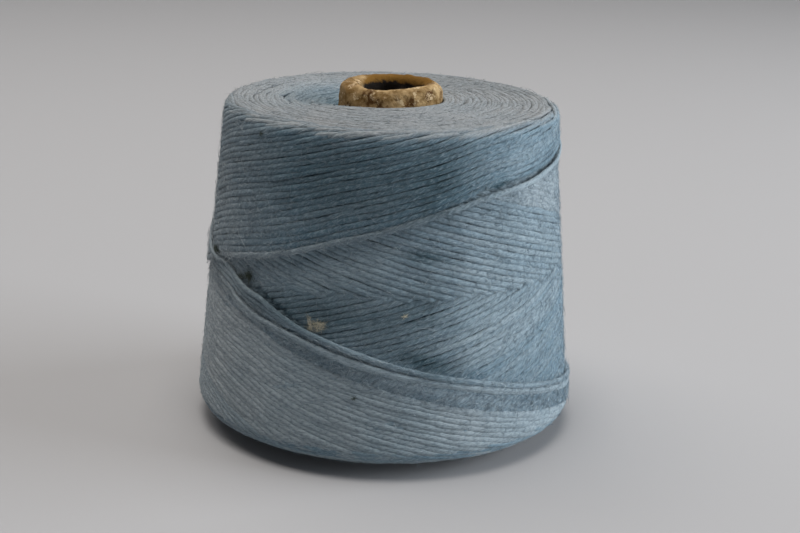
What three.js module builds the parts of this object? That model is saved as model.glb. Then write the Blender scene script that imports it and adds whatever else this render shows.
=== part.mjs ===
// A cone of cross-wound cotton string on its paper cone core.
// Millimetres, +Z up. The origin is the centre of the core's foot, on the surface that the cone stands on.
import * as THREE from "three";

// ---- Core: a tapered tube of rolled paper, its nose curled inwards ----
const CORE_HEIGHT = 126;
const NOSE_RADIUS = 18.2;
const CORE_HALF_ANGLE = 4.33; // degrees, the usual 4 degree 20 minute cone
const CORE_WALL = 2.6;
const CURL_DEPTH = 8; // how far down the bore the curled nose reaches
const CURL_THICKNESS = 6.2; // the curl with the wall that it lies against
const CURL_STEP = 1.5; // the curl's cut edge slopes back to the wall over this height
const NOSE_DENT = 2.6; // how far the nose has been pushed in at the front
const NOSE_DENT_REACH = 16; // the dent fades out this far below the top
const DENT_SIDE = -80; // degrees round the axis, where the dent is deepest; the front is at -90
const DENT_HALF_ANGLE = 62;

// ---- Winding: one annular package of string ----
const WINDING_FOOT = 5; // the core stands this far out below the winding
const WINDING_HEIGHT = 114.5;
const WIDEST_RADIUS = 69.6;
const WIDEST_ABOVE_FOOT = 6.5;
const TOP_RADIUS = 60;
const TOP_EDGE_ROUND = 3.6;
const HOLLOW_AT_CORE = 2.4; // how far the top face sinks beside the core
const HOLLOW_EXTRA = 2.6; // more than that on the side away from the front, to the left
const HOLLOW_SIDE = 150; // degrees round the axis, where the extra hollow is deepest
const HOLLOW_HALF_ANGLE = 60;
const SEAT_GAP = 0.3;

// ---- The winding law: two turns for each trip up and down, a little over, so strands lie side by side ----
const YARN = 1.8; // across one strand as laid
const LAYER = 1.1; // what a pressed layer adds to the radius
const CROSSING_HEIGHT = 0.49; // share of the side's height where rising and falling strands cross
const CROSSING_SIDE = -158; // degrees round the axis, where the last rising and falling strands cross there
const LAY_ANGLE = 15; // degrees from level, the usual slope of a strand
const STEP_WIDTH = 4.5; // across the strands, where the last layer steps down to the one below
const RIDGE_RISE = 1.4; // the last strands laid lie on one another
const RIDGE_HALF_WIDTH = 3.4;
const BAND_DEPTH = 0.9; // the shallow band behind the last falling strands
const BAND_OFFSET = 9;
const BAND_HALF_WIDTH = 4;

// How many turns a strand takes over each stretch of the side's height, from the foot up.
const TRIP_TABLE = [
  { height: 0.0, rising: 0.0, falling: 0.0 },
  { height: 0.15, rising: 0.11, falling: 0.22 },
  { height: 0.3, rising: 0.22, falling: 0.39 },
  { height: 0.49, rising: 0.37, falling: 0.59 },
  { height: 0.8, rising: 0.64, falling: 0.88 },
  { height: 1.0, rising: 0.85, falling: 1.08 },
];

// ---- Facets ----
const SIDE_STEPS = 80; // round the axis
const SIDE_ROWS = 38; // up the winding's side
const FACE_ROWS = 3; // across each end face
const EDGE_ROWS = 3; // round each edge
const CORE_STEPS = 48;
const DENT_ROWS = 3; // down each wall of the nose, as far as the dent reaches
const CURL_ROWS = 6; // over the curl

const degrees = (angle) => (angle * Math.PI) / 180;
const share = (value) => value - Math.floor(value);
const lerp = THREE.MathUtils.lerp;

function bell(distance, halfWidth) {
  return Math.exp(-((distance / halfWidth) ** 2));
}

// The angle between two directions round the axis, in degrees, 0 to 180.
function apart(a, b) {
  return Math.abs(share((a - b) / 360 + 0.5) - 0.5) * 360;
}

// Joins closed sections, one for each step round the axis, into one closed ring.
function ringSolid(sectionAt, steps) {
  const places = [];
  const faces = [];
  let points = 0;
  for (let i = 0; i < steps; i++) {
    const angle = (360 * i) / steps;
    const section = sectionAt(angle);
    points = section.length;
    for (const [radius, height] of section) {
      places.push(radius * Math.cos(degrees(angle)), radius * Math.sin(degrees(angle)), height);
    }
  }
  for (let i = 0; i < steps; i++) {
    for (let j = 0; j < points; j++) {
      const here = i * points;
      const next = ((i + 1) % steps) * points;
      const above = (j + 1) % points;
      faces.push(here + j, next + j, next + above);
      faces.push(here + j, next + above, here + above);
    }
  }
  const geometry = new THREE.BufferGeometry();
  geometry.setAttribute("position", new THREE.Float32BufferAttribute(places, 3));
  geometry.setIndex(faces);
  geometry.computeVertexNormals();
  return geometry;
}

// ---- Core ----

function coreRadius(height) {
  return NOSE_RADIUS + (CORE_HEIGHT - height) * Math.tan(degrees(CORE_HALF_ANGLE));
}

// How far the nose is pushed in at this angle and height.
function noseDent(angle, height) {
  const reach = Math.max(0, 1 - (CORE_HEIGHT - height) / NOSE_DENT_REACH);
  return NOSE_DENT * reach * bell(apart(angle, DENT_SIDE), DENT_HALF_ANGLE);
}

// Foot, outside up to the nose, over the curl, down the curl and the bore.
function coreSection(angle) {
  const section = [[coreRadius(0), 0]];
  const curlRadius = CURL_THICKNESS / 2;
  const shoulder = CORE_HEIGHT - curlRadius;
  const dentFoot = CORE_HEIGHT - NOSE_DENT_REACH;
  for (let j = 0; j <= DENT_ROWS; j++) {
    const height = lerp(dentFoot, shoulder, j / DENT_ROWS);
    section.push([coreRadius(height) - noseDent(angle, height), height]);
  }
  for (let j = 1; j < CURL_ROWS; j++) {
    const turn = degrees((180 * j) / CURL_ROWS);
    const height = shoulder + curlRadius * Math.sin(turn);
    const middle = coreRadius(shoulder) - curlRadius;
    section.push([middle + curlRadius * Math.cos(turn) - noseDent(angle, height), height]);
  }
  const lip = CORE_HEIGHT - CURL_DEPTH;
  section.push([coreRadius(shoulder) - CURL_THICKNESS - noseDent(angle, shoulder), shoulder]);
  section.push([coreRadius(lip) - CURL_THICKNESS - noseDent(angle, lip), lip]);
  for (let j = DENT_ROWS - 1; j >= 0; j--) {
    const height = lerp(dentFoot, lip - CURL_STEP, j / (DENT_ROWS - 1));
    section.push([coreRadius(height) - CORE_WALL - noseDent(angle, height), height]);
  }
  section.push([coreRadius(0) - CORE_WALL, 0]);
  return section;
}

function paperMaterial() {
  return new THREE.MeshStandardMaterial({ color: 0xa98f6b, roughness: 0.9, metalness: 0 });
}

function paperCore() {
  const core = new THREE.Mesh(ringSolid(coreSection, CORE_STEPS), paperMaterial());
  core.name = "paper_core";
  return core;
}

// ---- Winding ----

// Turns from the mid-height crossing to this height, along a rising or a falling strand.
function turnsFromCrossing(height, way) {
  const turnsAt = (h) => {
    const clamped = Math.min(Math.max(h, 0), 1);
    const row = Math.max(TRIP_TABLE.findIndex((r) => r.height >= clamped), 1);
    const [low, high] = [TRIP_TABLE[row - 1], TRIP_TABLE[row]];
    return lerp(low[way], high[way], (clamped - low.height) / (high.height - low.height));
  };
  return turnsAt(height) - turnsAt(CROSSING_HEIGHT);
}

// Turns round the axis from this place to the last strand of its family at the same height, 0 to 1.
function age(angle, height, way) {
  const turns = turnsFromCrossing(height, way);
  const front = CROSSING_SIDE / 360 + (way === "rising" ? turns : -turns);
  return share(front - angle / 360);
}

// What the last two layers, the ridges of the last strands and the shallow band add to the radius.
function relief(angle, height, radius) {
  const oneTurn = 2 * Math.PI * radius * Math.sin(degrees(LAY_ANGLE)); // measured across the strands
  const rising = age(angle, height, "rising") * oneTurn;
  const falling = age(angle, height, "falling") * oneTurn;
  const layer = (past) => {
    const step = Math.max(0, 1 - (oneTurn - past) / STEP_WIDTH);
    return LAYER * lerp(0.5 - past / oneTurn, 0.5, step);
  };
  const from = (past, offset) => Math.min(Math.abs(past - offset), oneTurn - Math.abs(past - offset));
  const ridge = (past) => RIDGE_RISE * bell(from(past, YARN), RIDGE_HALF_WIDTH);
  const band = BAND_DEPTH * bell(from(falling, BAND_OFFSET), BAND_HALF_WIDTH);
  return layer(rising) + layer(falling) + Math.max(ridge(rising), ridge(falling)) - band;
}

// Bottom face outwards, round the lower edge, up the side, over the upper edge, in to the core and down it.
function windingSection(angle) {
  const section = [];
  const foot = WINDING_FOOT;
  const top = foot + WINDING_HEIGHT;
  const seat = (height) => coreRadius(height) + SEAT_GAP;
  const lowEdge = WIDEST_RADIUS - WIDEST_ABOVE_FOOT;
  const sideFoot = foot + WIDEST_ABOVE_FOOT;
  const sideTop = top - TOP_EDGE_ROUND;
  for (let j = 0; j < FACE_ROWS; j++) {
    section.push([lerp(seat(foot), lowEdge, j / FACE_ROWS), foot]);
  }
  for (let j = 0; j < EDGE_ROWS; j++) {
    const turn = degrees((90 * j) / EDGE_ROWS);
    const bulge = relief(angle, 0, WIDEST_RADIUS) * Math.sin(turn);
    section.push([
      lowEdge + (WIDEST_ABOVE_FOOT + bulge) * Math.sin(turn),
      sideFoot - WIDEST_ABOVE_FOOT * Math.cos(turn),
    ]);
  }
  for (let j = 0; j <= SIDE_ROWS; j++) {
    const height = j / SIDE_ROWS;
    const radius = lerp(WIDEST_RADIUS, TOP_RADIUS, height);
    section.push([radius + relief(angle, height, radius), lerp(sideFoot, sideTop, height)]);
  }
  const faceEdge = TOP_RADIUS - TOP_EDGE_ROUND;
  for (let j = 1; j <= EDGE_ROWS; j++) {
    const turn = degrees((90 * j) / EDGE_ROWS);
    const bulge = relief(angle, 1, TOP_RADIUS) * Math.cos(turn);
    section.push([
      faceEdge + (TOP_EDGE_ROUND + bulge) * Math.cos(turn),
      sideTop + TOP_EDGE_ROUND * Math.sin(turn),
    ]);
  }
  const hollow = HOLLOW_AT_CORE + HOLLOW_EXTRA * bell(apart(angle, HOLLOW_SIDE), HOLLOW_HALF_ANGLE);
  for (let j = 1; j <= FACE_ROWS; j++) {
    const inwards = j / FACE_ROWS;
    section.push([lerp(faceEdge, seat(top - hollow), inwards), top - hollow * inwards ** 2]);
  }
  return section;
}

function stringMaterial() {
  return new THREE.MeshStandardMaterial({ color: 0x6f8592, roughness: 0.95, metalness: 0 });
}

function stringWinding() {
  const winding = new THREE.Mesh(ringSolid(windingSection, SIDE_STEPS), stringMaterial());
  winding.name = "string_winding";
  return winding;
}

const cone = new THREE.Group();
cone.add(paperCore());
cone.add(stringWinding());

export default cone;
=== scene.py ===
import math

import bpy
import numpy as np
from mathutils import Matrix, Vector


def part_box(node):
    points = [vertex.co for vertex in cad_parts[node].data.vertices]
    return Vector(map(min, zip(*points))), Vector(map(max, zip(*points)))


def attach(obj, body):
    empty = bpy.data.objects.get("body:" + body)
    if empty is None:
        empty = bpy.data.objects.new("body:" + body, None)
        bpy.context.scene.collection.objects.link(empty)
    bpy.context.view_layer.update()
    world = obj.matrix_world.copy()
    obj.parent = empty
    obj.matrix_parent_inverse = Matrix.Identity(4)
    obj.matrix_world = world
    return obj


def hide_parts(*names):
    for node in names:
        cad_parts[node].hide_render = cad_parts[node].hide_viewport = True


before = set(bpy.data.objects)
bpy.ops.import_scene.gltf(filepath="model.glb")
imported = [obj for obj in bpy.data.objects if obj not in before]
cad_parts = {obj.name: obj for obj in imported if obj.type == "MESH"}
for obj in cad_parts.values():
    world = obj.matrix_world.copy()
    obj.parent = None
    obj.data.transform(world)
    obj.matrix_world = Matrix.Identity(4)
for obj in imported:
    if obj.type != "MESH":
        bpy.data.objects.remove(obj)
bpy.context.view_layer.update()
MM = 0.001


# ---- Camera ----
# A short telephoto lens, a little over half a metre in front of the cone and looking down on it.
# It leans a little, so the cone's top leans to the right.
CAMERA_PLACE = (0.0052, -0.5508, 0.2234)
CAMERA_LOOKS_DOWN = 16.9
CAMERA_LEAN = 1.76
CAMERA_LENS = 69.2
tilt = Matrix.Rotation(math.radians(90 - CAMERA_LOOKS_DOWN), 4, "X")
lean = Matrix.Rotation(math.radians(CAMERA_LEAN), 4, "Z")
bpy.ops.object.camera_add(location=CAMERA_PLACE, rotation=(tilt @ lean).to_euler())
camera = bpy.context.object
camera.data.lens = CAMERA_LENS
camera.data.sensor_width = 36
bpy.context.scene.camera = camera


# ---- Floor and backdrop ----
# One seamless sheet of matt pale grey paper: a flat floor that turns up into a wall all the way round.
# Matt paper gives a soft shadow and no reflection.
FLOOR_RADIUS = 2.2
COVE_RADIUS = 0.5
WALL_HEIGHT = 2.4
COVE_STEPS = 8


def linear(colour):
    """An sRGB hex colour as linear RGBA."""
    parts = [((colour >> shift) & 255) / 255 for shift in (16, 8, 0)]
    return tuple(c / 12.92 if c <= 0.04045 else ((c + 0.055) / 1.055) ** 2.4 for c in parts) + (1.0,)


def add(tree, kind, settings=None, links=None):
    """One shader node of this kind, with its settings and the sockets that feed it.

    A number names a socket by its place: a colour Mix has its factor at 0, its colours at 6 and 7 and its
    result at 2.
    """
    made = tree.nodes.new("ShaderNode" + kind)
    for name, value in (settings or {}).items():
        if isinstance(name, int) or name in made.inputs:
            made.inputs[name].default_value = value
        else:
            setattr(made, name, value)
    for name, source in (links or {}).items():
        tree.links.new(source, made.inputs[name])
    return made


def new_material(name):
    """A new material and its node tree, emptied."""
    material = bpy.data.materials.new(name)
    material.use_nodes = True
    material.node_tree.nodes.clear()
    return material, material.node_tree


def add_shader(tree, settings, links):
    """The material's one shader, joined to its output."""
    shader = add(tree, "BsdfPrincipled", settings, links)
    add(tree, "OutputMaterial", None, {"Surface": shader.outputs["BSDF"]})


def lay_over(tree, base, layers):
    """The base colour with others laid over it, each by how far its source has gone between two values."""
    for source, start, full, most, colour in layers:
        limits = {"From Min": start, "From Max": full, "To Max": most}
        share = add(tree, "MapRange", limits, {"Value": source})
        laid = add(tree, "Mix", {"data_type": "RGBA", 7: linear(colour)}, {0: share.outputs[0], 6: base})
        base = laid.outputs[2]
    return base


def ring_piece(name, sides, rings, unit, fill_type="NOTHING"):
    """A piece raised through rings, each a radius and a height in a unit of so many metres."""
    bpy.ops.object.select_all(action="DESELECT")
    bpy.ops.mesh.primitive_circle_add(vertices=sides, radius=rings[0][0] * unit, fill_type=fill_type)
    piece = bpy.context.object
    piece.name = name
    bpy.ops.object.mode_set(mode="EDIT")
    bpy.ops.mesh.select_mode(type="EDGE")
    bpy.ops.mesh.select_all(action="SELECT")
    bpy.ops.transform.translate(value=(0, 0, rings[0][1] * unit))
    for (radius, height), (next_radius, next_height) in zip(rings, rings[1:]):
        risen = (next_height - height) * unit
        bpy.ops.mesh.extrude_edges_move(TRANSFORM_OT_translate={"value": (0, 0, risen)})
        grown = next_radius / radius
        bpy.ops.transform.resize(value=(grown, grown, 1), center_override=(0, 0, 0))
    bpy.ops.object.mode_set(mode="OBJECT")
    return piece


floor_rings = [(FLOOR_RADIUS, 0.0)]
for step in range(1, COVE_STEPS + 1):
    turn = math.radians(90 * step / COVE_STEPS)
    floor_rings.append((FLOOR_RADIUS + COVE_RADIUS * math.sin(turn), COVE_RADIUS * (1 - math.cos(turn))))
floor_rings.append((FLOOR_RADIUS + COVE_RADIUS, WALL_HEIGHT))
floor = ring_piece("studio_floor", 128, floor_rings, 1.0, "NGON")
bpy.ops.object.shade_smooth_by_angle(angle=math.radians(30))

backdrop_paper, tree = new_material("matt_backdrop_paper")
add_shader(tree, {"Base Color": linear(0xa7a9ac), "Roughness": 0.95, "Specular IOR Level": 0.2}, {})
floor.data.materials.append(backdrop_paper)


# ---- Light ----
# One large soft light on the right, like a window that reaches down to the floor. Two more overhead and a
# plain pale surround fill its shadows.
def area_light(name, place, aim, size, power, colour):
    """A square soft light at this place, turned to its aim."""
    bpy.ops.object.light_add(type="AREA", location=place)
    light = bpy.context.object
    light.name = name
    light.rotation_euler = (Vector(aim) - Vector(place)).to_track_quat("-Z", "Y").to_euler()
    light.data.size = size
    light.data.energy = power
    light.data.color = linear(colour)[:3]


CONE_MIDDLE = (0, 0, 0.06)
area_light("key_light", (1.72, 0.0, 0.32), CONE_MIDDLE, 1.4, 58.0, 0xf8fbff)
area_light("top_light", (0.0, -0.25, 2.06), CONE_MIDDLE, 1.0, 19.5, 0xfff7f0)
area_light("rear_light", (-0.42, 0.42, 1.70), CONE_MIDDLE, 1.6, 20.0, 0xfff7f0)
world = bpy.data.worlds.new("pale_surround")
bpy.context.scene.world = world
world.use_nodes = True
surround = world.node_tree.nodes["Background"].inputs
surround["Color"].default_value = linear(0xf2f4f8)
surround["Strength"].default_value = 0.05
bpy.context.scene.view_settings.view_transform = "Standard"


# ---- Paper core ----
# A 4 degree 20 minute cone of rolled grey-brown paper. Its foot, cut square, stands out below the string.
# Its nose was curled inwards when it was made, and has since been pushed in at the front and frayed.
CORE_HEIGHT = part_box("paper_core")[1].z / MM
NOSE_RADIUS = 18.2
CORE_HALF_ANGLE = 4.33
CORE_WALL = 2.6
CURL_THICKNESS = 6.2
CURL_DEPTH = 8.0
CORE_SIDES = 96


def core_radius(height):
    """The core's outside radius at this height, in mm."""
    return NOSE_RADIUS + (CORE_HEIGHT - height) * math.tan(math.radians(CORE_HALF_ANGLE))


curl = CURL_THICKNESS / 2
shoulder = CORE_HEIGHT - curl
# up the outside, over the curl, down it and down the bore, all by height
OUTSIDE_RINGS = (0.0, 2.0, 4.0, 20.0, 50.0, 80.0, 105.0, 111.0, 114.0, 116.5, 119.0, 121.0)
CURL_RINGS = (121.0, 119.5, CORE_HEIGHT - CURL_DEPTH)
BORE_RINGS = (117.0, 115.0, 110.0, 105.0, 80.0, 50.0, 20.0, 0.0)
core_rings = [(core_radius(z), z) for z in OUTSIDE_RINGS]
for turn in range(0, 181, 20):
    out = math.cos(math.radians(turn))
    up = math.sin(math.radians(turn))
    core_rings.append((core_radius(shoulder) - curl + curl * out, shoulder + curl * up))
core_rings += [(core_radius(z) - CURL_THICKNESS, z) for z in CURL_RINGS]
core_rings += [(core_radius(z) - CORE_WALL, z) for z in BORE_RINGS]


def close_rings(piece, rings):
    """Joins the piece's last ring to its first and turns all faces outwards. It is left in edit mode."""
    for edge in piece.data.edges:
        ends = [piece.data.vertices[v].co / MM for v in edge.vertices]
        edge.select = False
        for radius, height in (rings[0], rings[-1]):
            if all(math.hypot(end.xy.length - radius, end.z - height) < 0.01 for end in ends):
                edge.select = True
    bpy.ops.object.mode_set(mode="EDIT")
    bpy.ops.mesh.bridge_edge_loops()
    bpy.ops.mesh.select_all(action="SELECT")
    bpy.ops.mesh.normals_make_consistent(inside=False)


core = ring_piece("paper_core_tube", CORE_SIDES, core_rings, MM)
close_rings(core, core_rings)


def push(place, reach, move):
    """Pushes the core's point nearest this place, and those within reach less, all in mm."""
    bpy.ops.object.mode_set(mode="OBJECT")
    for part in (core.data.vertices, core.data.edges, core.data.polygons):
        part.foreach_set("select", [False] * len(part))
    near = Vector(place) * MM
    closest = min(core.data.vertices, key=lambda v: (v.co - near).length)
    closest.select = True
    bpy.ops.object.mode_set(mode="EDIT")
    bpy.ops.mesh.select_mode(type="VERT")
    bpy.ops.transform.translate(
        value=tuple(Vector(move) * MM),
        use_proportional_edit=True,
        proportional_edit_falloff="SMOOTH",
        proportional_size=reach * MM,
    )


# How the nose has been pushed out of round.
NOSE_PUSHES = [
    # place, how far the push reaches, push
    ((-8, -17, 124), 15, (0.5, 2.6, -1.6)),
    ((6, -17, 124), 15, (-0.3, 3.0, -0.6)),
    ((15, -9, 124), 9, (0.8, 1.2, 0.5)),
    ((-17, 0, 124), 10, (-0.3, -0.6, -0.5)),
    ((18, 2, 125), 7, (0.6, 0, -1.0)),
    ((0, 12, 122), 10, (0.5, 0.8, -0.6)),
    ((-10, -2, 121), 8, (2.6, 0.4, 0.0)),
    ((-9, 5, 121), 6, (1.2, -0.8, 0.0)),
    ((11, 0, 121), 6, (-1.2, 0.2, 0.2)),
    ((-6, 11, 118), 6, (0.3, -1.4, 1.6)),
    ((4, 11, 118), 5, (0, -1.0, 2.2)),
    ((9, 8, 118), 5, (-0.4, -0.6, 1.4)),
    ((10, -14, 120), 5, (0.4, -0.6, 0)),
    ((-14, -10, 120), 6, (-0.6, -0.7, 0.3)),
]
for place, reach, move in NOSE_PUSHES:
    push(place, reach, move)
bpy.ops.object.mode_set(mode="OBJECT")

pulp_lumps = bpy.data.textures.new("pulp_lumps", "CLOUDS")
pulp_lumps.noise_scale = 3.2 * MM
pulp_lumps.noise_depth = 3
nose = core.vertex_groups.new(name="nose")
nose.add([v.index for v in core.data.vertices if v.co.z > 112 * MM], 1.0, "REPLACE")
rounding = core.modifiers.new("rounding", "SUBSURF")
rounding.levels = rounding.render_levels = 1
lumps = core.modifiers.new("lumps", "DISPLACE")
lumps.texture = pulp_lumps
lumps.texture_coords = "LOCAL"
lumps.vertex_group = "nose"
lumps.mid_level = 0.5
lumps.strength = 0.9 * MM
for modifier in ("rounding", "lumps"):
    bpy.ops.object.modifier_apply(modifier=modifier)
bpy.ops.object.shade_smooth_by_angle(angle=math.radians(50))
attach(core, "root")
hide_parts("paper_core")

# Grey-brown kraft paper, rolled and glued: matt, blotched by glue and damp, pale where its pulp has frayed.
kraft_paper, tree = new_material("rolled_kraft_paper")
where = add(tree, "TexCoord")
place = where.outputs["Object"]
blotch = add(tree, "TexNoise", {"Scale": 1 / 0.0035, "Detail": 5, "Roughness": 0.6}, {"Vector": place})
stain_settings = {"Scale": 1 / 0.0060, "Detail": 6, "Roughness": 0.65, "Distortion": 0.4}
stain = add(tree, "TexNoise", stain_settings, {"Vector": place})
fray = add(tree, "TexNoise", {"Scale": 1 / 0.0030, "Detail": 5, "Roughness": 0.7}, {"Vector": place})
fibre = add(tree, "TexNoise", {"Scale": 1 / 0.0006, "Detail": 4}, {"Vector": place})
tan = add(tree, "ValToRGB", None, {"Fac": blotch.outputs["Fac"]})
for element, colour, position in zip(tan.color_ramp.elements, (0x6a5028, 0xa89068), (0.36, 0.62)):
    element.color = linear(colour)
    element.position = position
parts = add(tree, "SeparateXYZ", None, {"Vector": place})
outside = lay_over(tree, tan.outputs["Color"], [
    # what it follows, from, to, the most of it, colour: glue on the left, damp stains, frayed pulp
    (parts.outputs["X"], -0.008, -0.016, 0.55, 0x6e5228),
    (stain.outputs["Fac"], 0.54, 0.62, 1.0, 0x4f3414),
    (fray.outputs["Fac"], 0.56, 0.62, 0.75, 0xc8b491),
])
# Inside, the bare paper is browner, and below the curled lip it is painted near black, as painted shade down
# the bore.
shifted = add(tree, "Mapping", {"Location": (-0.0025, -0.0050, 0)}, {"Vector": place})
apart = add(tree, "SeparateXYZ", None, {"Vector": shifted.outputs[0]})
flat = add(tree, "CombineXYZ", None, {"X": apart.outputs["X"], "Y": apart.outputs["Y"]})
across = add(tree, "VectorMath", {"operation": "LENGTH"}, {0: flat.outputs[0]})
inside = add(tree, "MapRange", {"From Min": 0.0132, "From Max": 0.0122}, {"Value": across.outputs["Value"]})
# The painted shade in the bore starts below the lip, at a height made ragged by the stains.
ragged_links = {0: stain.outputs["Fac"], 2: apart.outputs["Z"]}
ragged = add(tree, "Math", {"operation": "MULTIPLY_ADD", 1: -0.006}, ragged_links)
sunk = add(tree, "MapRange", {"From Min": 0.1212, "From Max": 0.1202}, {"Value": ragged.outputs[0]})
bore_paper_and_painted_shade = add(tree, "Mix", {"data_type": "RGBA", 6: linear(0x6e4f1a), 7: linear(0x120c06)}, {0: sunk.outputs[0]})
paper = add(tree, "Mix", {"data_type": "RGBA"}, {0: inside.outputs[0], 6: outside, 7: bore_paper_and_painted_shade.outputs[2]})
rough = add(tree, "Math", {"operation": "ADD"}, {0: fray.outputs["Fac"], 1: fibre.outputs["Fac"]})
bump = add(tree, "Bump", {"Strength": 0.6, "Distance": 0.0004}, {"Height": rough.outputs[0]})
paper_links = {"Base Color": paper.outputs[2], "Normal": bump.outputs[0]}
add_shader(tree, {"Roughness": 0.9, "Specular IOR Level": 0.25}, paper_links)
core.data.materials.append(kraft_paper)


# ---- Winding law ----
# The string was laid by a guide that went up and down while the cone turned about twice, and a little over.
# So each strand lies beside the one before, rising strands cross falling ones, and the newest lie on top.
string_low, string_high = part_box("string_winding")
WINDING_FOOT = string_low.z / MM
WINDING_TOP = string_high.z / MM
WIDEST_RADIUS = 69.6
LOW_EDGE = 6.5
TOP_RADIUS = 60.0
TOP_EDGE = 3.6
HOLLOW_AT_CORE = -0.4
HOLLOW_EXTRA = 5.0
HOLLOW_SIDE = 150
HOLLOW_HALF_ANGLE = 60
LAYER = 1.1
CROSSING_HEIGHT = 0.49
CROSSING_SIDE = -158
STRANDS = 55
# Share of the side's height from the foot up, and the turns that a strand has taken there.
TRIP = np.array([
    # height, rising, falling
    (0.0, 0.0, 0.0),
    (0.15, 0.125, 0.18),
    (0.3, 0.255, 0.345),
    (0.49, 0.425, 0.54),
    (0.8, 0.695, 0.812),
    (1.0, 0.91, 1.0),
])

side_foot = WINDING_FOOT + LOW_EDGE
side_top = WINDING_TOP - TOP_EDGE
fine_heights = np.linspace(0, 1, 201)
EASED_OVER = 12  # heights to each side, over which the table's corners are rounded
trip_lines = {}
for column, way in ((1, "rising"), (2, "falling")):
    line = np.interp(fine_heights, TRIP[:, 0], TRIP[:, column])
    longer = np.pad(line, EASED_OVER, "reflect", reflect_type="odd")
    eased = np.convolve(longer, np.ones(2 * EASED_OVER + 1) / (2 * EASED_OVER + 1), mode="valid")
    trip_lines[way] = eased - np.interp(CROSSING_HEIGHT, fine_heights, eased)


def turns(height, way):
    """Turns from the mid-height crossing to this share of the height."""
    return np.interp(height, fine_heights, trip_lines[way])


def age(angle, height, way):
    """Turns round the axis from this place to the last strand of its family, from 0, the newest, to 1."""
    sign = 1 if way == "rising" else -1
    return (CROSSING_SIDE / 360 + sign * turns(height, way) - np.asarray(angle) / 360) % 1


# The section's outline, from the core out over the bottom face, up the side and in over the top face.
quarter = np.radians(np.linspace(0, 90, 25))
low_edge_radius = WIDEST_RADIUS - LOW_EDGE
face_edge_radius = TOP_RADIUS - TOP_EDGE
up_side = np.linspace(0, 1, 121)
side_radii = WIDEST_RADIUS + (TOP_RADIUS - WIDEST_RADIUS) * up_side
bottom_radii = np.linspace(core_radius(WINDING_FOOT) + 0.3, low_edge_radius, 60, endpoint=False)
top_radii = np.linspace(face_edge_radius, core_radius(WINDING_TOP) + 0.5, 61)[1:]
outline = np.concatenate([
    [(radius, WINDING_FOOT) for radius in bottom_radii],
    np.stack([low_edge_radius + LOW_EDGE * np.sin(quarter), side_foot - LOW_EDGE * np.cos(quarter)], 1)[:-1],
    np.stack([side_radii, side_foot + (side_top - side_foot) * up_side], 1),
    np.stack([face_edge_radius + TOP_EDGE * np.cos(quarter), side_top + TOP_EDGE * np.sin(quarter)], 1)[1:],
    [(radius, WINDING_TOP) for radius in top_radii],
])


def distances(points):
    """How far each point lies along the line through them."""
    return np.concatenate([[0], np.cumsum(np.linalg.norm(np.diff(points, axis=0), axis=1))])


def unit(vectors):
    """The same vectors, each one long."""
    return vectors / np.linalg.norm(vectors, axis=-1, keepdims=True)


outline_along = distances(outline)
widest = np.argmin(np.abs(outline[:, 1] - side_foot) + np.abs(outline[:, 0] - WIDEST_RADIUS))
outline_along -= outline_along[widest]  # counted from where the side starts
SIDE = math.hypot(side_top - side_foot, WIDEST_RADIUS - TOP_RADIUS)
slopes = unit(np.gradient(outline, outline_along, axis=0))


def fade(along):
    """How much of the layers' steps is left this far along the outline: all on the side, none on the ends."""
    over_top = np.clip((along - SIDE) / TOP_EDGE, 0, math.pi / 2)
    under_foot = np.clip(-along / LOW_EDGE, 0, math.pi / 2)
    return np.cos(over_top) * np.cos(under_foot)


def surface(angle, along):
    """What the last two layers add to the radius here."""
    height = np.clip(along / SIDE, 0, 1)
    return fade(along) * LAYER * (1 - age(angle, height, "rising") - age(angle, height, "falling"))


def bell(distance, half_width):
    """1 at no distance, falling off on both sides."""
    return np.exp(-((distance / half_width) ** 2))


def hollow(angle):
    """How far the top face sinks beside the core at this angle."""
    apart = np.abs(((angle - HOLLOW_SIDE) / 360 + 0.5) % 1 - 0.5) * 360
    return HOLLOW_AT_CORE + HOLLOW_EXTRA * bell(apart, HOLLOW_HALF_ANGLE)


def place_on_winding(angle, along, lift):
    """Points and outward normals at these angles, distances along the outline and lifts above it."""
    radius = np.interp(along, outline_along, outline[:, 0])
    height = np.interp(along, outline_along, outline[:, 1])
    out = np.interp(along, outline_along, slopes[:, 1])
    up = -np.interp(along, outline_along, slopes[:, 0])
    inner = core_radius(WINDING_TOP) + 0.5
    inwards = np.clip((face_edge_radius - radius) / (face_edge_radius - inner), 0, 1)
    height = height - np.where(along > SIDE, hollow(angle) * inwards ** 2, 0)
    turn = np.radians(angle)
    radius = radius + out * lift
    points = np.stack([radius * np.cos(turn), radius * np.sin(turn), height + up * lift], -1)
    normals = np.stack([out * np.cos(turn), out * np.sin(turn), up], -1)
    return points, unit(normals)


# ---- Wound body ----
# The string below the last layer, wound on the core in the same way. It is one plain ring, since it shows
# only as shade in the gaps between the strands.
BODY_DEPTH = 2.1
BODY_DEPTH_ON_FACES = 1.0
BODY_SIDES = 160
CORE_CLEARANCE = 1.0
body_outline = outline[::3]
body = ring_piece("wound_string_body", BODY_SIDES, body_outline, MM)
close_rings(body, body_outline)
bpy.ops.object.mode_set(mode="OBJECT")
for vertex in body.data.vertices:
    radius = vertex.co.xy.length / MM
    if radius < core_radius(vertex.co.z / MM) + CORE_CLEARANCE:
        # the wall that sits on the core stops short of both faces
        vertex.co.z += (BODY_DEPTH if vertex.co.z / MM < 60 else -BODY_DEPTH - 3) * MM
        continue
    angle = math.degrees(math.atan2(vertex.co.y, vertex.co.x))
    nearest = int(np.argmin(np.hypot(outline[:, 0] - radius, outline[:, 1] - vertex.co.z / MM)))
    along = outline_along[nearest]
    depth = BODY_DEPTH - (BODY_DEPTH - BODY_DEPTH_ON_FACES) * (1 - fade(along))
    here = (np.array([angle]), np.array([along]))
    point, _ = place_on_winding(*here, surface(*here) - depth)
    vertex.co = Vector(point[0]) * MM
bpy.ops.object.shade_smooth_by_angle(angle=math.radians(60))
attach(body, "root")
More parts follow.
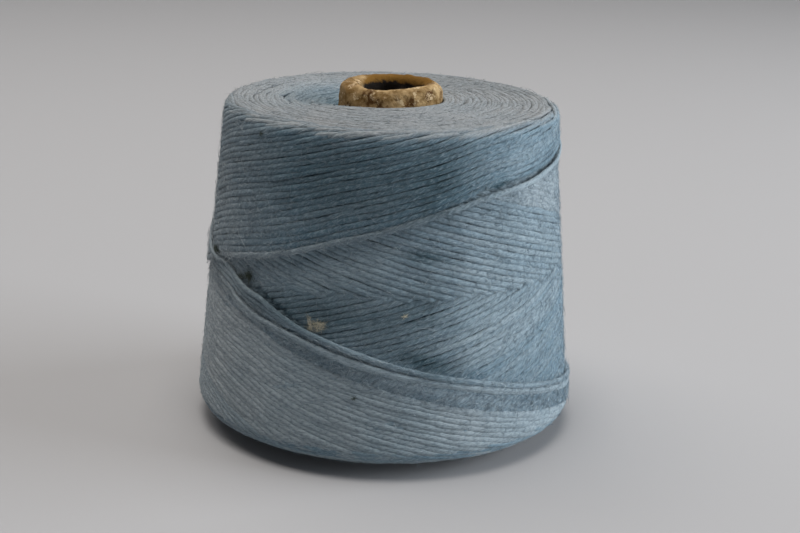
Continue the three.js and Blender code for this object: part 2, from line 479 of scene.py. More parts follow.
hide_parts("string_winding")


# ---- Strands on the side ----
# Soft dyed cotton string, about 2 mm across as laid. Three plies are a guess from the spacing of its twist.
# Rising and falling strands slope opposite ways and pass over or under each other by age. At the edges each
# turns back in a flat arc.
STRAND_GIRTH = 5.4
STRAND_STEP = 1.0
PLIES = 3
PLY_SPACING = 3.0
PLY_BULGE = 0.06
STRAND_PRESSED = 0.12  # how far its section is pressed towards a square by its neighbours
SEAT_IN_LAYER = 0.55
# Round the strand from its inner side: the outer side, which shows, has more points.
ROUND_STRAND = np.radians([0, 80, 130, 180, 230, 280])
draws = np.random.default_rng(11)


def ramp(value, start, full):
    """0 up to the start, 1 from the full value on, and smooth between."""
    gone = np.clip((value - start) / (full - start), 0, 1)
    return gone * gone * (3 - 2 * gone)


def waves(distance, lengths, sizes, rng):
    """A wandering line: one wave of each length and size, each with its own start."""
    total = np.zeros_like(distance, dtype=float)
    for length, size in zip(lengths, sizes):
        stretched = length * rng.uniform(0.8, 1.25)
        total += size * np.sin(2 * math.pi * (distance / stretched + rng.uniform()))
    return total


# How far the last rising strands sag below their law, by the angle from the front: pairs of degrees and mm.
RISING_SAG = np.array([
    (-150, 0), (-100, -1.5), (-67, -3), (-60, -3), (-50, -2.3), (-40, -1.6), (-30, -1.4), (-15, -2),
    (0, -1.7), (20, -1.7), (30, -1.3), (40, -0.2), (50, 1.4), (60, 2.6), (76, 4.6), (100, 4.5),
    (125, 2), (150, 0),
], float)
# The last falling strands: how far the newest lies below its law, and in the next table how far the five
# after it lie below the newest. The last of these closes the shallow band that they leave open.
FALLING_SAG = np.array([
    (-120, 0), (-75, -1), (-62, -4.3), (-56, -4.6), (-52, -3.7), (-46, -3.2), (-40, -3.5), (-35, -2.6),
    (-30, -1.3), (-24, -0.5), (-15, 0.1), (-5, 0.9), (6, 1.7), (15, 2.0), (35, 2.4), (60, 3.0),
    (110, 2.5), (150, 0),
], float)
BUNDLE = np.array([
    # angle, second, third, fourth, fifth, closing
    (-105, 2.15, 4.3, 6.45, 8.6, 10.9),
    (-75, 2.0, 4.0, 6.0, 7.9, 10.2),
    (-58, 2.0, 4.0, 6.2, 8.2, 12.0),
    (-46, 1.9, 3.8, 6.3, 8.0, 10.8),
    (-40, 2.0, 4.0, 6.8, 8.4, 11.4),
    (-35, 1.5, 2.9, 5.6, 7.2, 11.6),
    (-30, 0.9, 1.6, 4.1, 5.7, 10.8),
    (-24, 0.3, 0.4, 3.3, 4.6, 10.7),
    (-6, 0, 0, 3.0, 3.6, 10.6),
    (5, 0, 0, 2.4, 3.0, 10.3),
    (12, 0, 0, 2.1, 2.7, 10.3),
    (22, 0, 0, 1.9, 2.5, 10.9),
    (60, 0, 0.2, 1.8, 2.6, 10.6),
    (75, 0.5, 1.2, 2.2, 3.4, 10.7),
    (110, 1.9, 3.0, 4.2, 5.5, 9.0),
    (150, 1.7, 3.4, 5.1, 6.8, 8.5),
], float)
# How far each of the six stands proud, and the step from one strand to the next below them, in mm.
BUNDLE_LIFT = (0.45, 0.1, -0.2, 0.35, 0.1, 0.05)
LOWER_STEP = 1.88
# So many of the newest falling strands lie fuller and evener than those under them, and are drawn paler, in
# part as painted haze.
NEWER_FALLING = 24
# How wide a strand lies for its room. Above 1 it laps its neighbours, with a shallower groove between them.
FULLNESS = {
    # fullness, how much more on the right, and on the left
    "rising": (1.0, 0.18, 0.08),
    "newer falling": (1.26, 0.12, 0.08),
    "older falling": (1.04, 0.06, 0.16),
}
NARROWEST = 1.5
BROADEST = 2.8
TOPMOST_WIDTH = 1.9  # of the raised strands, which nothing presses
GAP_WIDTH = 1.8  # of those beside the newest rising one, where a gap stays open
# The crevice that rising strands dive into above the raised falling ones.
CREVICE_DEPTH = 0.9
CREVICE_ABOVE = 1.5
CREVICE_HALF_WIDTH = 0.8
CREVICE_SIDE = -37
CREVICE_HALF_ANGLE = 13
# Beyond each edge a strand turns back in an arc of so many degrees, and dives where the arc comes home.
HALF_ARC = (9, 30)
ARC_STEP = 1.2
DIVE_FROM = 6
DIVE_OVER = 8
DIVE_DEPTH = 1.7
# In steps along the strand: how far it goes on into hiding, and how short a stretch is left out.
HIDDEN_STEPS = 7
SHORTEST_RUN = 8


def strand_course(index, way):
    """One strand over the side: its way as +1 or -1, angles, distances along the outline and how proud."""
    sign = 1 if way == "rising" else -1
    heights = np.linspace(0, 1, 161)[::sign]
    last = CROSSING_SIDE + 360 * sign * turns(heights, way)
    bundled = way == "falling" and index < 6
    trip = last if bundled else last - 360 * index / STRANDS
    front = trip + 90
    along = heights * SIDE
    gathered = ramp(front, -66, -44) * ramp(front, 150, 120)
    limb = ramp(front, 105, 65)
    proud = 0 * front
    if way == "falling":
        first_sag = np.interp(front, FALLING_SAG[:, 0], FALLING_SAG[:, 1])
        closing_sag = np.interp(front, BUNDLE[:, 0], BUNDLE[:, 5])
        if bundled:
            sag = first_sag + (np.interp(front, BUNDLE[:, 0], BUNDLE[:, index]) if index else 0)
            proud = BUNDLE_LIFT[index] * gathered * limb
        else:
            below = np.interp(trip, last, along) - along
            sag = first_sag + closing_sag + LOWER_STEP * (index - 5) - below
            sag = sag * gathered * ramp(below, 0, 6)
    else:
        sag = np.interp(front, RISING_SAG[:, 0], RISING_SAG[:, 1])
        if index == 0:
            proud = (0.35 + 0.4 * ramp(front, 5, 30)) * gathered * limb
        else:
            # on the right the others have pulled away from the newest, and most of all in one place
            gap = 1.5 * ramp(front, 14, 34) * ramp(front, 100, 70)
            gap = gap + 0.7 * bell(front - 38, 7) * math.exp(-(index - 1) / 4)
            sag = sag * math.exp(-(index - 1) / 60) - gap * math.exp(-(index - 1) / 20)
            # on the front the newer ones lie further apart than by their law
            on_front = ramp(front, -90, -30) * ramp(front, 150, 90)
            sag = sag - 0.12 * min(index - 1, 24) * on_front
    return sign, trip, along - sag, proud


_, ridge_trip, ridge_along, _ = strand_course(0, "falling")


def above_ridge(angle, along):
    """How far this place lies above the newest falling strand, in mm."""
    return along - np.interp((angle - ridge_trip[0]) % 360 + ridge_trip[0], ridge_trip, ridge_along)


def strand_runs(index, way, rng):
    """The stretches of one strand that show, each as its distances, points, normals and widths.

    It makes its trip over the side and an arc beyond each edge, and is left out where newer strands hide it.
    """
    sign, trip, along, proud = strand_course(index, way)
    radius = np.interp(along, (0, SIDE), (WIDEST_RADIUS, TOP_RADIUS))
    slope = np.abs(np.gradient(along) / (np.radians(np.gradient(trip)) * radius))
    apart = []
    for beside in (index - 1, index + 1):
        if 0 <= beside < STRANDS:
            _, other_trip, other_along, _ = strand_course(beside, way)
            apart.append(np.abs(np.interp(trip, other_trip, other_along) - along))
    pitch = np.mean(apart, axis=0) * np.cos(np.arctan(slope))
    parts = []
    for end, inner in ((0, 6), (-1, -7)):
        leaves = sign * (1 if end else -1)  # +1 where the strand goes over the upper edge
        steepness = abs((along[end] - along[inner]) / (trip[end] - trip[inner]))
        half_arc = rng.uniform(*HALF_ARC)
        steps = np.arange(ARC_STEP, 2 * half_arc + 4, ARC_STEP)
        reach = steepness * steps * (1 - steps / (2 * half_arc))
        angles = trip[end] + (steps if end else -steps)
        dive = np.clip((steps - 2 * half_arc + DIVE_FROM) / DIVE_OVER, 0, 1)
        parts.append((angles, along[end] + leaves * reach, dive))
    (a0, d0, dive0), (a1, d1, dive1) = parts
    angle = np.concatenate([a0[::-1], trip, a1])
    along = np.concatenate([d0[::-1], along, d1])
    dive = np.concatenate([dive0[::-1], 0 * trip, dive1])
    proud, pitch = (np.pad(line, (len(a0), len(a1)), "edge") for line in (proud, pitch))
    rough_points, _ = place_on_winding(angle, along, 0 * angle)
    length = distances(rough_points)
    stations = np.arange(0, length[-1], STRAND_STEP)
    courses = (angle, along, dive, proud, pitch)
    angle, along, dive, proud, pitch = (np.interp(stations, length, course) for course in courses)
    front = (angle + 270) % 360 - 180
    upper_left = np.clip((along / SIDE - 0.8) / 0.2, 0, 1) * ramp(front, 10, -30)
    along = along + (1 + 0.5 * upper_left) * waves(stations, (11, 24, 55, 120), (0.04, 0.06, 0.06, 0.08), rng)
    height = np.clip(along / SIDE, 0, 1)
    own = index / STRANDS
    other = age(angle, height, "falling" if way == "rising" else "rising")
    crevice = 0
    if way == "rising":
        under = ramp((own - other) * STRANDS, 0, 1)
        seen_under = (other < 0.24) & (height < 0.5)
        crevice = CREVICE_DEPTH * bell(above_ridge(angle, along) - CREVICE_ABOVE, CREVICE_HALF_WIDTH)
        crevice = crevice * bell(front - CREVICE_SIDE, CREVICE_HALF_ANGLE) * (height < 0.5)
    else:
        under = 1 - ramp((other - own) * STRANDS, 0, 1)
        seen_under = (other < 0.09) & (height > 0.5)
    sunk = LAYER * under
    if way == "rising":
        # in the shallow band they have worked up, nearly level with the strands beside it
        sunk = sunk * (1 - 0.75 * ramp(other * STRANDS, 1.6, 2.8))
    lift = fade(along) * LAYER * (1 - own - other) - sunk - SEAT_IN_LAYER
    lift += proud * (1 - under) + waves(stations, (17, 40), (0.07, 0.08), rng)
    lift -= DIVE_DEPTH * ramp(dive, 0, 1)
    kind = way if way == "rising" else ("newer falling" if index < NEWER_FALLING else "older falling")
    lift += rng.normal(0, 0.03 if kind == "newer falling" else 0.06) - crevice
    points, normals = place_on_winding(angle, along, lift)
    fullness, on_right, on_left = FULLNESS[kind]
    fullness = fullness + on_right * ramp(front, 20, 50) + on_left * ramp(front, -15, -45)
    if way == "rising":
        fullness = fullness + 0.4 * (under > 0.9)
    width = np.clip(pitch * (fullness + rng.normal(0, 0.03)), NARROWEST, BROADEST)
    if way == "rising" and index < 3:
        width = np.minimum(width, BROADEST - (BROADEST - GAP_WIDTH) * ramp(front, 15, 30))
    if index < (1 if way == "rising" else 5):
        width = np.full(len(pitch), TOPMOST_WIDTH)
    hidden = (under > 0.99) & ~seen_under
    shown = np.convolve(~hidden, np.ones(2 * HIDDEN_STEPS + 1), mode="same") > 0
    edges = np.flatnonzero(np.diff(np.pad(shown, 1).astype(int)))
    for begin, finish in zip(edges[::2], edges[1::2]):
        if finish - begin > SHORTEST_RUN:
            part = slice(begin, finish)
            yield stations[part], points[part], normals[part], width[part]


def tube(stations, points, normals, width, rng, around=ROUND_STRAND, bulge=PLY_BULGE):
    """One strand's ring points, faces and corner coordinates: metres along it and round it."""
    tangents = unit(np.gradient(points, axis=0))
    across = unit(np.cross(tangents, normals))
    out = np.cross(across, tangents)
    sides = len(around)
    start = rng.uniform(0, 500)
    swell = 1 + waves(stations, (6, 11, 23, 60), (0.03, 0.04, 0.04, 0.04), rng)
    station = np.arange(len(points))
    ends = np.minimum(1, np.minimum(station, station[::-1]) / 3 + 0.2)  # they taper over their last points
    twist = -2 * math.pi * (stations + start)[:, None] / PLY_SPACING
    pressed = 1 + STRAND_PRESSED * np.sin(2 * around) ** 2
    plied = (swell * ends)[:, None] * (pressed[None, :] + bulge * np.cos(PLIES * around[None, :] + twist))
    thickness = 1.4 - 0.2 * (width - 1.6)
    wide = (plied * (width / 2)[:, None] * np.sin(around))[:, :, None] * across[:, None, :]
    thick = (plied * (thickness / 2)[:, None] * -np.cos(around))[:, :, None] * out[:, None, :]
    rings = points[:, None, :] + wide + thick
    i = station[:-1, None] * sides
    j = np.arange(sides)[None, :]
    k = (j + 1) % sides
    quads = np.stack([i + j, i + sides + j, i + sides + k, i + k], -1).reshape(-1, 4)
    here = (stations[:-1] + start)[:, None] * MM + 0 * j
    there = (stations[1:] + start)[:, None] * MM + 0 * j
    turned = np.append(around, 2 * math.pi) / (2 * math.pi) * STRAND_GIRTH * MM
    low = turned[j] + 0 * i
    high = turned[j + 1] + 0 * i
    corners = np.stack([here, low, there, low, there, high, here, high], -1)
    return rings.reshape(-1, 3), quads, corners.reshape(-1, 4, 2)


# Where the string is drawn darker or paler, patch by patch. Part of this is painted light: the patches carry
# some of the grey haze and highlights of the wrapping film. The last three are painted shade, in narrow gaps
# that come out too light by their shape alone: two above the newest rising strand, and one in the crevice
# above the raised falling strands.
TONE_AND_SHADE_PATCHES = [
    # angle from the front, share of the height, half width and half height in mm, climb for each mm to the
    # right, how much darker
    (-12, 0.88, 46, 16, 0, 0.55),
    (17, 0.87, 12, 15, 0, 0.5),
    (48, 0.9, 14, 12, 0, -0.2),
    (12, 0.635, 9, 2.3, -0.1, 0.95),
    (14, 0.285, 12, 3.8, -0.3, 1.0),
    (11, 0.46, 10, 6, 0.3, 0.35),
    (-22, 0.43, 30, 7, 0, 0.62),
    (-8, 0.6, 26, 7, 0.25, -0.35),
    (-18, 0.15, 38, 15, -0.3, -0.16),
    (12, 0.21, 45, 2.8, -0.33, -0.55),
    (42, 0.38, 24, 14, 0, -0.2),
    (30, 0.5, 12, 34, 0, -0.2),
    (58, 0.87, 22, 1.1, 0.12, 1.0),
    (37.5, 0.85, 4.5, 1.1, 0.12, 1.2),
    (-37, 0.452, 13, 1.0, -0.42, 0.7),
]


def patch_tone_and_shade(points):
    """How much darker, above 0, or paler, below 0, the patches draw the string at these points of the side.
    """
    turned = (np.degrees(np.arctan2(points[:, 1], points[:, 0])) + 270) % 360 - 180
    total = np.zeros(len(points))
    on_side = np.clip((side_top + 2 - points[:, 2]) / 3, 0, 1)
    for side, share, half_width, half_height, climb, amount in TONE_AND_SHADE_PATCHES:
        across = (turned - side) * math.radians(65)
        up = points[:, 2] - side_foot - share * SIDE - climb * across
        total += amount * bell(across, half_width) * bell(up, half_height)
    return total * on_side


def string_piece(name, points, faces):
    """A new piece of string, from its points in mm and its faces."""
    mesh = bpy.data.meshes.new(name)
    mesh.from_pydata((points * MM).tolist(), [], faces)
    piece = bpy.data.objects.new(name, mesh)
    bpy.context.collection.objects.link(piece)
    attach(piece, "root")
    return piece


def give_values(piece, name, values):
    """Gives each point of the piece its own value for the material to read."""
    piece.data.attributes.new(name, "FLOAT", "POINT").data.foreach_set("value", values)


def strands_piece(name, tubes, tones):
    """Joins tubes into one piece, its ends closed, with its UV map and each strand's own tone."""
    points, faces, corners, tone = [], [], [], []
    count = 0
    for (ring_points, quads, uv), strand_tone in zip(tubes, tones):
        points.append(ring_points)
        tone.append(np.full(len(ring_points), strand_tone))
        faces.extend((quads + count).tolist())
        corners.append(uv.reshape(-1, 2))
        sides = quads[0, 1]
        last = len(ring_points) - sides
        faces.append([count + s for s in range(sides)])
        faces.append([count + last + s for s in range(sides)][::-1])
        corners.append(np.tile(uv[0, 0], (sides, 1)))
        corners.append(np.tile(uv[-1, -1], (sides, 1)))
        count += len(ring_points)
    points = np.concatenate(points)
    piece = string_piece(name, points, faces)
    piece.data.uv_layers.new(name="strand").data.foreach_set("uv", np.concatenate(corners).ravel())
    give_values(piece, "tone", np.concatenate(tone))
    give_values(piece, "patch_tone_and_shade", patch_tone_and_shade(points))
    piece.data.polygons.foreach_set("use_smooth", [True] * len(faces))
    return piece


string_pieces = []
for way in ("rising", "falling"):
    for half, indices in (("newer", range(STRANDS // 2)), ("older", range(STRANDS // 2, STRANDS))):
        tubes, tones = [], []
        for index in indices:
            # Rising strands are drawn darker than falling ones, as painted shade: lying nearer along the
            # light from the right, they catch less of it.
            tone = draws.uniform(0.0, 0.45) if way == "rising" else draws.uniform(0.4, 0.85)
            if way == "rising":
                tone = 1.1 if index == 0 else tone + (0.3 if index > 28 else 0)
            elif index < NEWER_FALLING:
                # Tones above 1 grey these strands paler, in part as painted haze.
                tone = 0.55 if index < 3 else (1.0 if index < 5 else 1.35)
            for run in strand_runs(index, way, draws):
                tubes.append(tube(*run, draws))
                tones.append(tone)
        piece = strands_piece(way + "_strands_" + half, tubes, tones)
        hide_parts("string_winding")
        string_pieces.append(piece)


# ---- Strands on the end faces ----
# Where each layer turned back, its strands lie on the face in long arcs, nearly round the core.
# Each arc's ends run out under the newer strands outside it.
FACE_PITCH = 1.3


def face_arcs(on_top, rng):
    """The arcs of one end face, from the core outwards."""
    tubes = []
    inner = core_radius(WINDING_TOP if on_top else WINDING_FOOT) + 1.1
    outer = face_edge_radius + 1.0 if on_top else low_edge_radius + 2.0
    for ring_radius in np.arange(inner, outer, FACE_PITCH):
        reached = rng.uniform(0, 360)
        finish = reached + 360
        while reached < finish:
            span = rng.uniform(45, 100)
            angles = np.arange(reached, reached + span, math.degrees((1.2 if on_top else 3.5) / ring_radius))
            reached += span * rng.uniform(0.55, 0.8)
            x = np.linspace(-1, 1, len(angles))
            radius = ring_radius + rng.uniform(-0.3, 0.3) + rng.uniform(0.6, 2.6) * x ** 2
            distance = np.radians(angles) * ring_radius
            radius = radius + waves(distance, (22, 50), (0.08, 0.18), rng)
            if on_top:
                along = SIDE + TOP_EDGE * math.pi / 2 + face_edge_radius - radius
            else:
                along = radius - low_edge_radius - LOW_EDGE * math.pi / 2
            lift = rng.uniform(-0.06, 0.06) - 0.5 - 0.9 * ramp(np.abs(x), 0.72, 1)
            lift = lift + waves(distance, (20,), (0.06,), rng)
            points, normals = place_on_winding(angles, along, lift)
            width = np.full(len(points), rng.uniform(1.8, 2.1))
            around = ROUND_STRAND if on_top else ROUND_STRAND[1:]
            bulge = PLY_BULGE if on_top else 0
            tubes.append(tube(distances(points), points, normals, width, rng, around, bulge))
    return tubes


for face, on_top in (("top_face_strands", True), ("bottom_face_strands", False)):
    tubes = face_arcs(on_top, draws)
    # the face strands are greyed, in part as painted haze; in the hollow by the core they keep the string's
    # own blue and are drawn darker, as painted shade
    middles = unit(np.array([points.mean(0)[:2] for points, _, _ in tubes]))
    reach = np.array([np.linalg.norm(points[:, :2], axis=1).mean() for points, _, _ in tubes])
    side = math.radians(HOLLOW_SIDE)
    dished = np.clip(middles @ (math.cos(side), math.sin(side)), 0, 1) ** 2 * np.clip((48 - reach) / 12, 0, 1)
    tones = draws.uniform(1.6, 2.0, len(tubes)) * (1 - 0.95 * dished)
    string_pieces.append(strands_piece(face, tubes, tones))

# Soft-twist cotton string, dyed in the mass: matt, its plies showing as slanting grooves, covered in lint.
# The plies lie 3 mm apart along it. Its fibres, 0.02 mm in life, are drawn 0.4 mm wide so that they show.
def grey_haze_top_and_left(tree, colour):
    """The colour greyed on the top face and on the left of the side, and dulled on the top face. In part this
    is painted haze, the grey that light off the wrapping film lays there.
    """
    where = add(tree, "TexCoord")
    apart = add(tree, "SeparateXYZ", None, {"Vector": where.outputs["Object"]})
    top = add(tree, "MapRange", {"From Min": 0.1165, "From Max": 0.1195}, {"Value": apart.outputs["Z"]})
    left_range = {"From Min": -0.030, "From Max": -0.062, "To Max": 0.8}
    left = add(tree, "MapRange", left_range, {"Value": apart.outputs["X"]})
    most = add(tree, "Math", {"operation": "MAXIMUM"}, {0: top.outputs[0], 1: left.outputs[0]})
    kept = add(tree, "MapRange", {"To Min": 1.0, "To Max": 0.55}, {"Value": most.outputs[0]})
    duller = add(tree, "MapRange", {"To Min": 1.0, "To Max": 0.80}, {"Value": top.outputs[0]})
    links = {"Color": colour, "Saturation": kept.outputs[0], "Value": duller.outputs[0]}
    return add(tree, "HueSaturation", None, links).outputs[0]


cotton, tree = new_material("soft_twist_cotton_string")
uv = add(tree, "UVMap", {"uv_map": "strand"})
where = add(tree, "TexCoord")
tone = add(tree, "Attribute", {"attribute_name": "tone"})
split = add(tree, "SeparateXYZ", None, {"Vector": uv.outputs[0]})
lay = add(tree, "Math", {"operation": "MULTIPLY", 1: -1 / (PLY_SPACING * MM)}, {0: split.outputs["X"]})
round_it = {"operation": "MULTIPLY_ADD", 1: PLIES / (STRAND_GIRTH * MM)}
turned_ply = add(tree, "Math", round_it, {0: split.outputs["Y"], 2: lay.outputs[0]})
phase = add(tree, "Math", {"operation": "MULTIPLY", 1: 2 * math.pi}, {0: turned_ply.outputs[0]})
ply = add(tree, "Math", {"operation": "COSINE"}, {0: phase.outputs[0]})
fibre_lay = {"vector_type": "TEXTURE", "Rotation": (0, 0, math.radians(12)), "Scale": (0.0018, 0.00040, 1)}
slanted = add(tree, "Mapping", fibre_lay, {"Vector": uv.outputs[0]})
fibre_settings = {"noise_dimensions": "2D", "Scale": 1.0, "Detail": 3, "Roughness": 0.65}
fibres = add(tree, "TexNoise", fibre_settings, {"Vector": slanted.outputs[0]})
cloud_settings = {"Scale": 1 / 0.020, "Detail": 3, "Roughness": 0.6}
cloudy = add(tree, "TexNoise", cloud_settings, {"Vector": where.outputs["Object"]})
patched_tone_and_shade = add(tree, "Attribute", {"attribute_name": "patch_tone_and_shade"})
blues = {"data_type": "RGBA", 6: linear(0x577586), 7: linear(0x8f9fa8)}
blue = add(tree, "Mix", blues, {0: tone.outputs["Fac"]})
linty = lay_over(tree, blue.outputs[2], [
    # what it follows, from, to, the most of it, colour
    # Tones above 1 grey the string, in part as painted haze: the grey that light off the wrapping film lays
    # over it.
    (tone.outputs["Fac"], 1, 2, 1, 0x8d9396),
    (cloudy.outputs["Fac"], 0.38, 0.66, 0.6, 0x748791),
    # the patches, which hold painted shade and painted haze as well
    (patched_tone_and_shade.outputs["Fac"], 0, 1, 1, 0x33505c),
    (patched_tone_and_shade.outputs["Fac"], 0, -1, 1, 0xb6c8d2),
    (fibres.outputs["Fac"], 0.5, 0.3, 0.6, 0x485c68),
    (fibres.outputs["Fac"], 0.5, 0.72, 0.5, 0xa0b1ba),
])
raised_links = {0: ply.outputs[0], 2: fibres.outputs["Fac"]}
raised = add(tree, "Math", {"operation": "MULTIPLY_ADD", 1: 0.22}, raised_links)
bump = add(tree, "Bump", {"Strength": 0.7, "Distance": 0.00025}, {"Height": raised.outputs[0]})
matt = {"Roughness": 0.95, "Specular IOR Level": 0.1}
sheen = {"Sheen Weight": 0.25, "Sheen Roughness": 0.6, "Sheen Tint": linear(0xc8d4dc)}
add_shader(tree, {**matt, **sheen}, {"Base Color": grey_haze_top_and_left(tree, linty), "Normal": bump.outputs[0]})
for piece in string_pieces:
    piece.data.materials.append(cotton)

# The body under them: the same string in shadow, darker on the side, where the gaps are deeper.
shaded_cotton, tree = new_material("shaded_cotton_string")
where = add(tree, "TexCoord")
matted = add(tree, "TexNoise", {"Scale": 1 / 0.0015, "Detail": 3}, {"Vector": where.outputs["Object"]})
shades = {"data_type": "RGBA", 6: linear(0x33434d), 7: linear(0x4e626e)}
shade = add(tree, "Mix", shades, {0: matted.outputs["Fac"]})
apart = add(tree, "SeparateXYZ", None, {"Vector": where.outputs["Object"]})
paler = lay_over(tree, shade.outputs[2], [(apart.outputs["Z"], 0.110, 0.115, 1, 0x6c777e)])
bump = add(tree, "Bump", {"Strength": 0.5, "Distance": 0.0004}, {"Height": matted.outputs["Fac"]})
add_shader(tree, matt, {"Base Color": paler, "Normal": bump.outputs[0]})
body.data.materials.append(shaded_cotton)


# ---- Lint on the string ----
# Soft cotton sheds: fine fibre ends stand off every strand and lie across the gaps between them.
# A real fibre is 0.02 mm across. These are drawn several times as thick and far fewer, so that they show.
FIBRE_SIDES = 3


def fibres_piece(name, roots, routes, thickness):
    """Joins fibres into one piece: each a bent spike from its root through its route's offsets."""
    count, bends = routes.shape[:2]
    spine = np.concatenate([roots[:, None, :], roots[:, None, :] + routes], 1)
    heading = unit(np.gradient(spine, axis=1))
    first = unit(np.cross(heading, np.array([0.31, 0.52, 0.79])))
    second = np.cross(heading, first)
    turn = 2 * math.pi * np.arange(FIBRE_SIDES) / FIBRE_SIDES
    thin = thickness[:, None] / 2 * (1 - np.arange(bends) / (bends + 1))[None, :]
    aside = np.cos(turn)[:, None] * first[:, :-1, None, :] + np.sin(turn)[:, None] * second[:, :-1, None, :]
    rings = spine[:, :-1, None, :] + thin[:, :, None, None] * aside
    points = np.concatenate([rings.reshape(count, -1, 3), spine[:, -1:, :]], 1)
    each = bends * FIBRE_SIDES + 1
    shape = [(0, 2, 1)]
    for b in range(bends - 1):
        for s in range(FIBRE_SIDES):
            low, next_low = b * FIBRE_SIDES + s, b * FIBRE_SIDES + (s + 1) % FIBRE_SIDES
            high, next_high = low + FIBRE_SIDES, next_low + FIBRE_SIDES
            shape += [(low, next_low, next_high), (low, next_high, high)]
    tip = (bends - 1) * FIBRE_SIDES
    shape += [(tip + s, tip + (s + 1) % FIBRE_SIDES, each - 1) for s in range(FIBRE_SIDES)]
    faces = (np.array(shape)[None] + (np.arange(count) * each)[:, None, None]).reshape(-1, 3)
    piece = string_piece(name, points.reshape(-1, 3), faces.tolist())
    give_values(piece, "tone", np.repeat(draws.uniform(0, 1, count), each))
    give_values(piece, "patch_tone_and_shade", np.repeat(patch_tone_and_shade(roots), each))
    return piece


def lay_fibres(name, angle, along, lift, rng, length, swing, rise, thickness, steps=(1.0,), lay=0.0):
    """Fibres rooted at these places, turned from the newest strands there by the lay, give or take the swing.

    Both are in radians. The steps are the shares of each fibre's length at which it bends.
    """
    count = len(angle)
    height = np.clip(along / SIDE, 0, 1)
    rising = age(angle, height, "rising") < age(angle, height, "falling")
    points, normals = place_on_winding(angle, along, surface(angle, along) + lift)
    turn = np.radians(angle)
    level = np.stack([-np.sin(turn), np.cos(turn), 0 * turn], -1)
    slope = np.radians(np.where(rising, 16, -14)) * fade(along)
    strand = level * np.cos(slope)[:, None] + np.cross(normals, level) * np.sin(slope)[:, None]
    off = rng.normal(lay, swing, count) + math.pi * (rng.uniform(size=count) < 0.5)
    ahead = strand * np.cos(off)[:, None] + np.cross(normals, strand) * np.sin(off)[:, None]
    aside = np.cross(normals, ahead)
    long = rng.uniform(*length, count)[:, None]
    bow = rng.normal(0, 0.35, count)[:, None]
    risen = rng.uniform(*rise, count)[:, None]
    route = []
    for t in steps:
        arch = normals * risen * math.sin(0.85 * math.pi * t)
        route.append(long * (ahead * t + aside * bow * t * t + arch))
    return fibres_piece(name, points, np.stack(route, 1), rng.uniform(*thickness, count))


def anywhere(count, rng):
    """Places all over the side and edges, fewer where it is rubbed: on the top face and below the band."""
    angle = rng.uniform(0, 360, count * 3)
    along = rng.uniform(-9, SIDE + 40, count * 3)
    radius = np.interp(along, outline_along, outline[:, 0])
    rubbed = (along > SIDE) | (above_ridge(angle, along) < -10)
    kept = rng.uniform(0, WIDEST_RADIUS, count * 3) < radius * np.where(rubbed, 0.35, 1)
    return angle[kept][:count], along[kept][:count]


def beside_strand(index, way, count, aside, rng):
    """Places along one strand of the last layer where it shows, this far to each side of it."""
    _, trip, along, _ = strand_course(index, way)
    here = rng.uniform(0, len(trip) - 1, count)
    angle = np.interp(here, np.arange(len(trip)), trip)
    height = np.interp(here, np.arange(len(trip)), along)
    seen = height > 0
    if way == "rising":
        seen &= angle > CROSSING_SIDE - 3
    return angle[seen], (height + rng.uniform(*aside, count))[seen]


FINE = (0.10, 0.20)
CURVED = (0.25, 0.5, 0.75, 1.0)
LINT_SIZES = {
    # length in mm, swing, rise as a share of the length, thickness in mm
    "short": ((0.8, 2.6), 0.75, (0, 1.2), FINE),
    "long": ((2.0, 6.0), 2.0, (0.06, 0.2), FINE),
    "ridge": ((0.8, 3.0), 0.6, (0, 0.8), FINE),
    "hair": ((4.0, 11.0), 2.0, (0.05, 0.15), (0.12, 0.18)),
    "band": ((1.5, 4.5), 0.8, (0, 0.15), (0.08, 0.14)),
}
lint_places = [anywhere(22000, draws), anywhere(22000, draws), anywhere(2600, draws)]
lint_pieces = []
for name, (angle, along) in zip(("short_lint_a", "short_lint_b"), lint_places):
    lift = draws.uniform(-0.3, 0.15, len(angle))
    lint_pieces.append(lay_fibres(name, angle, along, lift, draws, *LINT_SIZES["short"]))
lint_pieces.append(lay_fibres("long_lint", *lint_places[2], 0, draws, *LINT_SIZES["long"], CURVED))
for way in ("rising", "falling"):
    angle, along = beside_strand(0, way, 3600, (-1.4, 1.2), draws)
    lift = draws.uniform(0.0, 0.9, len(angle))
    lint_pieces.append(lay_fibres(way + "_ridge_lint", angle, along, lift, draws, *LINT_SIZES["ridge"]))
hairs = anywhere(60, draws)
lint_pieces.append(lay_fibres("stray_hairs", *hairs, 0.3, draws, *LINT_SIZES["hair"], CURVED))
angle, along = beside_strand(0, "falling", 5200, (-9.5, -3.5), draws)
kept = (angle > -160) & (angle < 60)
angle, along = angle[kept], along[kept]
lift = draws.uniform(-0.2, 0.3, len(angle))
lint_pieces.append(lay_fibres("band_lint", angle, along, lift, draws, *LINT_SIZES["band"]))

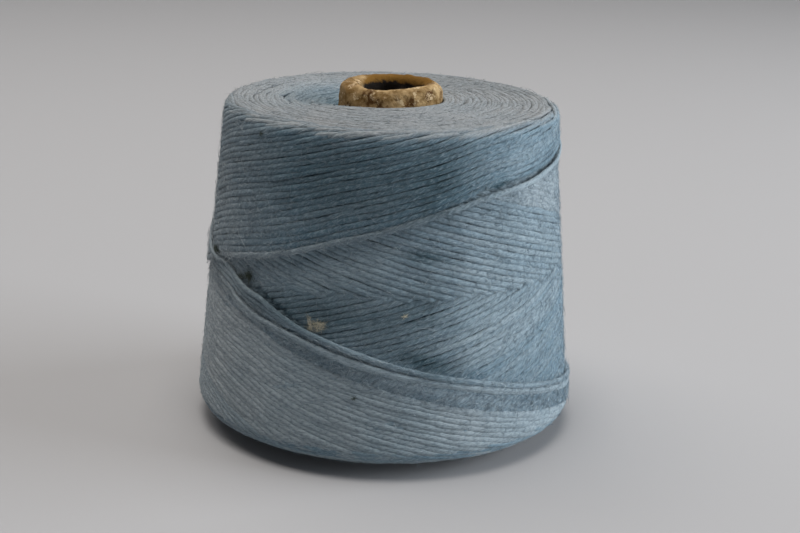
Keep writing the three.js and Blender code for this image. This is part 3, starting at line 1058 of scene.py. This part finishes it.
# The same cotton as loose fibre: paler, since light comes through it.
cotton_lint, tree = new_material("cotton_lint")
tone = add(tree, "Attribute", {"attribute_name": "tone"})
shade = add(tree, "ValToRGB", None, {"Fac": tone.outputs["Fac"]})
shade.color_ramp.elements[0].color = linear(0x5f7585)
shade.color_ramp.elements[1].color = linear(0xafbcc3)
# The lint is darkened by the same patches, with painted shade among them.
patched_tone_and_shade = add(tree, "Attribute", {"attribute_name": "patch_tone_and_shade"})
darker = lay_over(tree, shade.outputs["Color"], [(patched_tone_and_shade.outputs["Fac"], 0, 1, 1, 0x3c5660)])
loose = {"Roughness": 0.9, "Specular IOR Level": 0.1}
add_shader(tree, loose, {"Base Color": grey_haze_top_and_left(tree, darker)})
for piece in lint_pieces:
    piece.data.materials.append(cotton_lint)

# Tufts of other fibre that were wound in: undyed cotton, and soiled fibre in dark specks and knots. The dark
# fibre at the crossing on the left is painted shade, put in a small dark hole there.
tuft_materials = {}
for kind, darkest, palest in (("undyed", 0xa3a08a, 0xe2e0d2), ("dark", 0x313933, 0x5a645a)):
    tuft_materials[kind], tree = new_material(kind + "_cotton_fibre")
    tone = add(tree, "Attribute", {"attribute_name": "tone"})
    shades = {"data_type": "RGBA", 6: linear(darkest), 7: linear(palest)}
    shade = add(tree, "Mix", shades, {0: tone.outputs["Fac"]})
    add_shader(tree, loose, {"Base Color": shade.outputs[2]})
TUFTS = [
    # name, angle from the front, share of the height, half width and half height in mm, fibres, lay, kind
    ("undyed_slub", -19, 0.398, 1.6, 1.7, 150, 0.2, "undyed"),
    ("undyed_slub_hairs", -22, 0.396, 1.2, 2.0, 90, 1.5, "undyed"),
    ("ochre_fleck", 6.5, 0.448, 0.4, 0.3, 40, 0, "undyed"),
    ("soiled_knot_left", -51.5, 0.489, 1.3, 0.6, 80, 0, "dark"),
    ("soiled_knot_right", -47.2, 0.504, 1.8, 0.6, 90, 0, "dark"),
    ("soiled_knot_loose", -47.5, 0.508, 2.8, 1.7, 36, 0, "dark"),
    # painted shade: dark fibre filling the small hole where the strands cross on the left
    ("painted_shade_crossing", -68.5, 0.527, 2.8, 1.3, 260, 0, "dark"),
    ("soiled_fleck", -7.5, 0.174, 0.5, 0.08, 24, 0, "dark"),
    ("soiled_edge_fleck", -45, 0.985, 0.4, 0.2, 30, 0, "dark"),
]
for name, side, height, half_width, half_height, count, lay, kind in TUFTS:
    across = draws.normal(0, 0.5, (2, count))
    along = height * SIDE + across[1] * half_height
    angle = side - 90 + np.degrees(across[0] * half_width / 65)
    swing = 0.35 if lay else 0.9
    lift = draws.uniform(-0.1, 0.8, count)
    tuft_size = ((0.5, 1.3 + half_width), swing, (0, 0.5), FINE)
    piece = lay_fibres(name, angle, along, lift, draws, *tuft_size, lay=lay)
    piece.data.materials.append(tuft_materials[kind])
